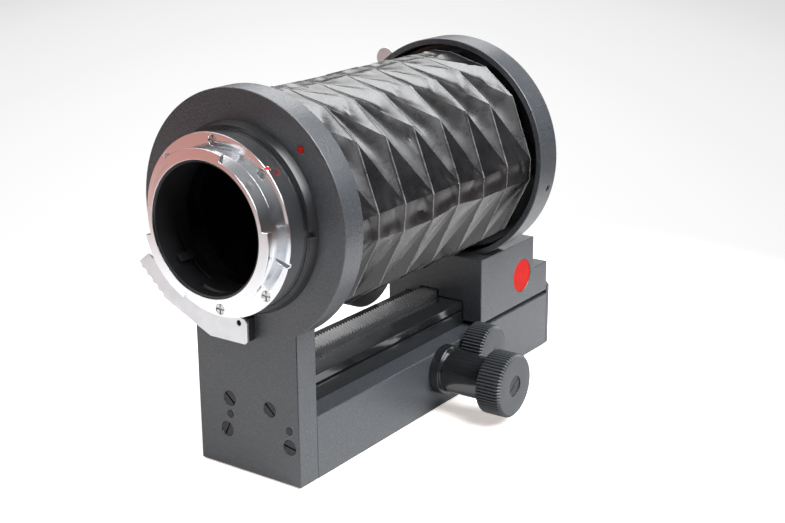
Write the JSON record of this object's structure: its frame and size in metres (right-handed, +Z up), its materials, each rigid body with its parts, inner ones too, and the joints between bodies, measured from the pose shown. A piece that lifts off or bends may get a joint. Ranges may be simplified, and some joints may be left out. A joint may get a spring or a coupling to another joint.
{
  "type": "macro bellows unit",
  "caption": "Close-up bellows unit: turning camera mount and pleated bellows on a geared rail, with a lens carriage, drive knobs, slide lock and tripod slide.",
  "frame": {"origin": "mouth of the tripod thread, in the middle of the foot of the tripod slide", "axes": "+Y from the camera mount towards the lens mount, +Z up, +X to the right seen from the camera"},
  "size_m": [0.107, 0.194, 0.1399],
  "materials": {
    "crackle_black": "fine crackle black paint",
    "satin_black": "satin black paint",
    "rail_black": "glossy black enamel",
    "knob_black": "black anodised, fluted rim",
    "satin_metal": "satin metal",
    "polished_chrome": "polished",
    "bright_steel": "bright steel",
    "dark_steel": "blackened steel",
    "rack_steel": "machined steel",
    "brass": "turned brass",
    "red_paint": "red enamel",
    "bellows_cloth": "coated cloth, glossy black"
  },
  "bodies": {
    "base": {"base_housing": "crackle_black", "end_plate": "crackle_black", "end_plate_screws": "dark_steel", "guide_rail": "rail_black", "rail_screws": "bright_steel", "extension_rack": "rack_steel", "rack_screws": "bright_steel", "rear_standard": "crackle_black", "rear_standard_screws": "dark_steel", "dowel_pins": "dark_steel", "rear_index_dot": "red_paint", "mount_bearing": "satin_black", "bellows_rear_frame": "satin_black", "rear_frame_screws": "dark_steel", "bellows": "bellows_cloth", "focus_boss": "rail_black", "lever_bracket": "satin_black", "lever_pivot": "dark_steel", "lever_spring": "bright_steel", "brake_pin": "brass"},
    "camera_mount": {"mount_collar": "polished_chrome", "keeper_ring": "satin_black", "keeper_ring_screws": "dark_steel", "bayonet_flange": "polished_chrome", "flange_screws": "bright_steel", "flange_index_dot": "red_paint", "mount_baffle": "satin_black"},
    "diaphragm_ring": {"diaphragm_ring": "satin_black"},
    "release_lever": {"release_lever": "satin_metal"},
    "lens_carriage": {"lens_carriage": "crackle_black", "gib_left": "bright_steel", "gib_right": "bright_steel", "gib_screws": "dark_steel", "side_badge": "red_paint", "ring_set_screw": "dark_steel", "bellows_front_frame": "satin_black", "front_frame_screws": "dark_steel", "lens_mount_ring": "polished_chrome", "lens_mount_screws": "bright_steel", "lens_index_dot": "red_paint", "lens_lever_pivot": "bright_steel", "lens_lever_spring": "bright_steel", "drive_boss": "rail_black"},
    "extension_drive": {"drive_shaft": "bright_steel", "drive_pinion": "brass", "drive_knob": "knob_black", "drive_knob_screw": "bright_steel"},
    "focus_drive": {"focus_shaft": "bright_steel", "focus_pinion": "brass", "focus_knob": "knob_black", "focus_knob_screw": "bright_steel"},
    "slide_lock": {"lock_knob": "knob_black", "lock_screw": "bright_steel"},
    "tripod_slide": {"tripod_slide": "satin_black", "tripod_bush": "bright_steel", "focus_rack": "rack_steel", "focus_rack_screws": "bright_steel"},
    "lens_release": {"lens_release_lever": "satin_metal"}
  },
  "joints": [
    {"name": "bellows_extension", "type": "slide", "parent": "base", "child": "lens_carriage", "axis": [0, 1, 0], "range_m": [-0.095, 0], "deforming": ["bellows"]},
    {"name": "extension_knob_turn", "type": "hinge", "parent": "lens_carriage", "child": "extension_drive", "pos_m": [0, 0.04, 0.04069], "axis": [1, 0, 0], "range_deg": [-4, 1142]},
    {"name": "tripod_slide_travel", "type": "slide", "parent": "base", "child": "tripod_slide", "axis": [0, 1, 0], "range_m": [-0.03, 0.03]},
    {"name": "focus_knob_turn", "type": "hinge", "parent": "base", "child": "focus_drive", "pos_m": [0, 0.002, 0.01582], "axis": [1, 0, 0], "range_deg": [-362, 362]},
    {"name": "slide_lock_turn", "type": "hinge", "parent": "base", "child": "slide_lock", "pos_m": [0.02, 0.0225, 0.0194], "axis": [1, 0, 0], "range_deg": [-90, 0]},
    {"name": "camera_mount_turn", "type": "hinge", "parent": "base", "child": "camera_mount", "pos_m": [0, -0.088, 0.0944], "axis": [0, 1, 0], "range_deg": [0, 90]},
    {"name": "diaphragm_ring_turn", "type": "hinge", "parent": "camera_mount", "child": "diaphragm_ring", "pos_m": [0, -0.0955, 0.0944], "axis": [0, 1, 0], "range_deg": [-15, 15], "stiffness_Nm_per_rad": 0.01},
    {"name": "mount_release_press", "type": "hinge", "parent": "base", "child": "release_lever", "pos_m": [0.0012, -0.0918, 0.0585], "axis": [0, 1, 0], "range_deg": [-8, 0], "stiffness_Nm_per_rad": 0.04, "springref_deg": 14.32},
    {"name": "lens_release_press", "type": "hinge", "parent": "lens_carriage", "child": "lens_release", "pos_m": [-0.03019, 0.0503, 0.12064], "axis": [0, 1, 0], "range_deg": [0, 8], "stiffness_Nm_per_rad": 0.02, "springref_deg": -14.32}
  ],
  "couplings": [
    {"joint": "extension_knob_turn", "follows": "bellows_extension", "rad_per_m": -208.71},
    {"joint": "focus_knob_turn", "follows": "tripod_slide_travel", "rad_per_m": 208.71}
  ]
}
